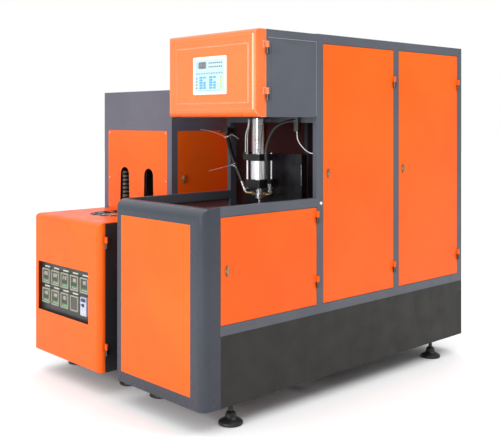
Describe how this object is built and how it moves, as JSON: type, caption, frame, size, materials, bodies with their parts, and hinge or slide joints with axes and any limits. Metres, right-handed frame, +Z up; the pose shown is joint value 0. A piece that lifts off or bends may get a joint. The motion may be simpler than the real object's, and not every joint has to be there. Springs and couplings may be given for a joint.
{
  "type": "blow moulding machine",
  "caption": "Stretch blow moulding unit with cantilevered head, blow ram, clamp platens and side doors, beside an infrared preform heater with a U-turn carrier track.",
  "frame": {"origin": "on the floor, at the middle of the pair of units", "axes": "+X to the right of the operator, -Y toward the operator, +Z up"},
  "size_m": [1.5915, 2.208, 1.9725],
  "materials": {
    "frame_grey": "satin blue-grey powder coat",
    "base_black": "matt charcoal powder coat",
    "orange": "satin orange powder coat",
    "black_metal": "black oxide",
    "dark_steel": "ground dark steel",
    "steel": "bright zinc plated steel",
    "chrome": "hard chrome",
    "aluminium": "drawn aluminium",
    "brass": "bright brass",
    "hose": "black rubber hose",
    "white_tube": "milky plastic tube",
    "bezel": "white moulded plastic",
    "keypad": "printed film keypad",
    "panel_dark": "dark anodised panel",
    "module": "grey-green plastic",
    "breaker_white": "white plastic",
    "toggle_blue": "dark blue plastic",
    "carrier_black": "black plastic",
    "ceramic": "quartz lamp with white ends",
    "reflector": "polished reflector sheet",
    "receiver_blue": "grey enamel"
  },
  "bodies": {
    "base": {"air_receiver": "receiver_blue", "breaker": "breaker_white", "carriers": "carrier_black", "chain_links": "steel", "clamp_cylinder": "dark_steel", "clamp_plate": "dark_steel", "control_panel": "panel_dark", "control_tube_front": "white_tube", "control_tube_rear": "white_tube", "controllers": "module", "drain_tube": "white_tube", "fixed_panels": "orange", "fixed_platen": "dark_steel", "frame_hinges": "steel", "front_panel": "orange", "front_surround": "frame_grey", "head_shell": "frame_grey", "heater_cabinet": "base_black", "heater_frame": "base_black", "hood": "frame_grey", "hose_fittings": "steel", "host_frame": "frame_grey", "lamps": "ceramic", "left_hose": "hose", "levelling_feet": "black_metal", "oven_frame": "frame_grey", "oven_front_panel": "orange", "oven_side_panel": "orange", "panel_screws": "steel", "plinth_skirt": "base_black", "ram_cylinder": "aluminium", "reflectors": "reflector", "right_hose": "hose", "roof_sheet": "frame_grey", "tie_bars": "chrome", "track_table": "orange"},
    "head_door": {"head_cover": "orange", "operator_bezel": "bezel", "membrane_keypad": "keypad"},
    "low_door": {"low_side_door": "orange"},
    "front_door": {"tall_door_front": "orange"},
    "rear_door": {"tall_door_rear": "orange"},
    "low_lock": {"low_door_lock": "steel"},
    "front_lock": {"front_door_lock": "steel"},
    "rear_lock": {"rear_door_lock": "steel"},
    "side_panel_lock": {"oven_lock": "black_metal"},
    "ram": {"ram_rod": "chrome", "chamber_caps": "black_metal", "blow_chamber": "aluminium", "blow_nozzle": "chrome", "nozzle_elbows": "brass", "hose_ends": "steel"},
    "stretch": {"stretch_rod": "steel"},
    "clamp": {"moving_platen": "dark_steel", "clamp_rod": "chrome"},
    "heater_door": {"control_door": "orange"},
    "main_switch": {"breaker_toggle": "toggle_blue"},
    "front_turn": {"front_wheel": "steel"},
    "rear_turn": {"rear_wheel": "steel"}
  },
  "joints": [
    {"name": "head_door_swing", "type": "hinge", "parent": "base", "child": "head_door", "pos_m": [0.796, -0.677, 1.758], "axis": [0, 0, 1], "range_deg": [0, 110]},
    {"name": "low_door_swing", "type": "hinge", "parent": "base", "child": "low_door", "pos_m": [0.796, -0.30125, 0.816], "axis": [0, 0, 1], "range_deg": [0, 100]},
    {"name": "front_door_swing", "type": "hinge", "parent": "base", "child": "front_door", "pos_m": [0.796, 0.37125, 1.188], "axis": [0, 0, 1], "range_deg": [0, 100]},
    {"name": "rear_door_swing", "type": "hinge", "parent": "base", "child": "rear_door", "pos_m": [0.796, 1.04375, 1.188], "axis": [0, 0, 1], "range_deg": [0, 100]},
    {"name": "low_lock_turn", "type": "hinge", "parent": "low_door", "child": "low_lock", "pos_m": [0.7875, -0.943, 0.7785], "axis": [-1, 0, 0], "range_deg": [0, 90]},
    {"name": "front_lock_turn", "type": "hinge", "parent": "front_door", "child": "front_lock", "pos_m": [0.7875, -0.21, 1.219], "axis": [-1, 0, 0], "range_deg": [0, 90]},
    {"name": "rear_lock_turn", "type": "hinge", "parent": "rear_door", "child": "rear_lock", "pos_m": [0.7875, 0.4625, 1.219], "axis": [-1, 0, 0], "range_deg": [0, 90]},
    {"name": "side_panel_lock_turn", "type": "hinge", "parent": "base", "child": "side_panel_lock", "pos_m": [-0.0775, -0.525, 1.16], "axis": [-1, 0, 0], "range_deg": [0, 90]},
    {"name": "ram_stroke", "type": "slide", "parent": "base", "child": "ram", "axis": [0, 0, -1], "range_m": [0, 0.1]},
    {"name": "stretch_stroke", "type": "slide", "parent": "ram", "child": "stretch", "axis": [0, 0, -1], "range_m": [0, 0.3]},
    {"name": "clamp_stroke", "type": "slide", "parent": "base", "child": "clamp", "axis": [0, 1, 0], "range_m": [0, 0.16]},
    {"name": "heater_door_swing", "type": "hinge", "parent": "base", "child": "heater_door", "pos_m": [-0.069, -1.0685, 0.543], "axis": [0, 0, 1], "range_deg": [0, 100]},
    {"name": "main_switch_toggle", "type": "hinge", "parent": "base", "child": "main_switch", "pos_m": [-0.257, -1.097, 0.464], "axis": [1, 0, 0], "range_deg": [0, 40]},
    {"name": "front_turn_spin", "type": "hinge", "parent": "base", "child": "front_turn", "pos_m": [-0.4325, -0.755, 0.92], "axis": [0, 0, 1], "continuous": true},
    {"name": "rear_turn_spin", "type": "hinge", "parent": "base", "child": "rear_turn", "pos_m": [-0.4325, 0.205, 0.92], "axis": [0, 0, 1], "continuous": true}
  ],
  "couplings": [
    {"joint": "rear_turn_spin", "follows": "front_turn_spin", "ratio": 1}
  ]
}
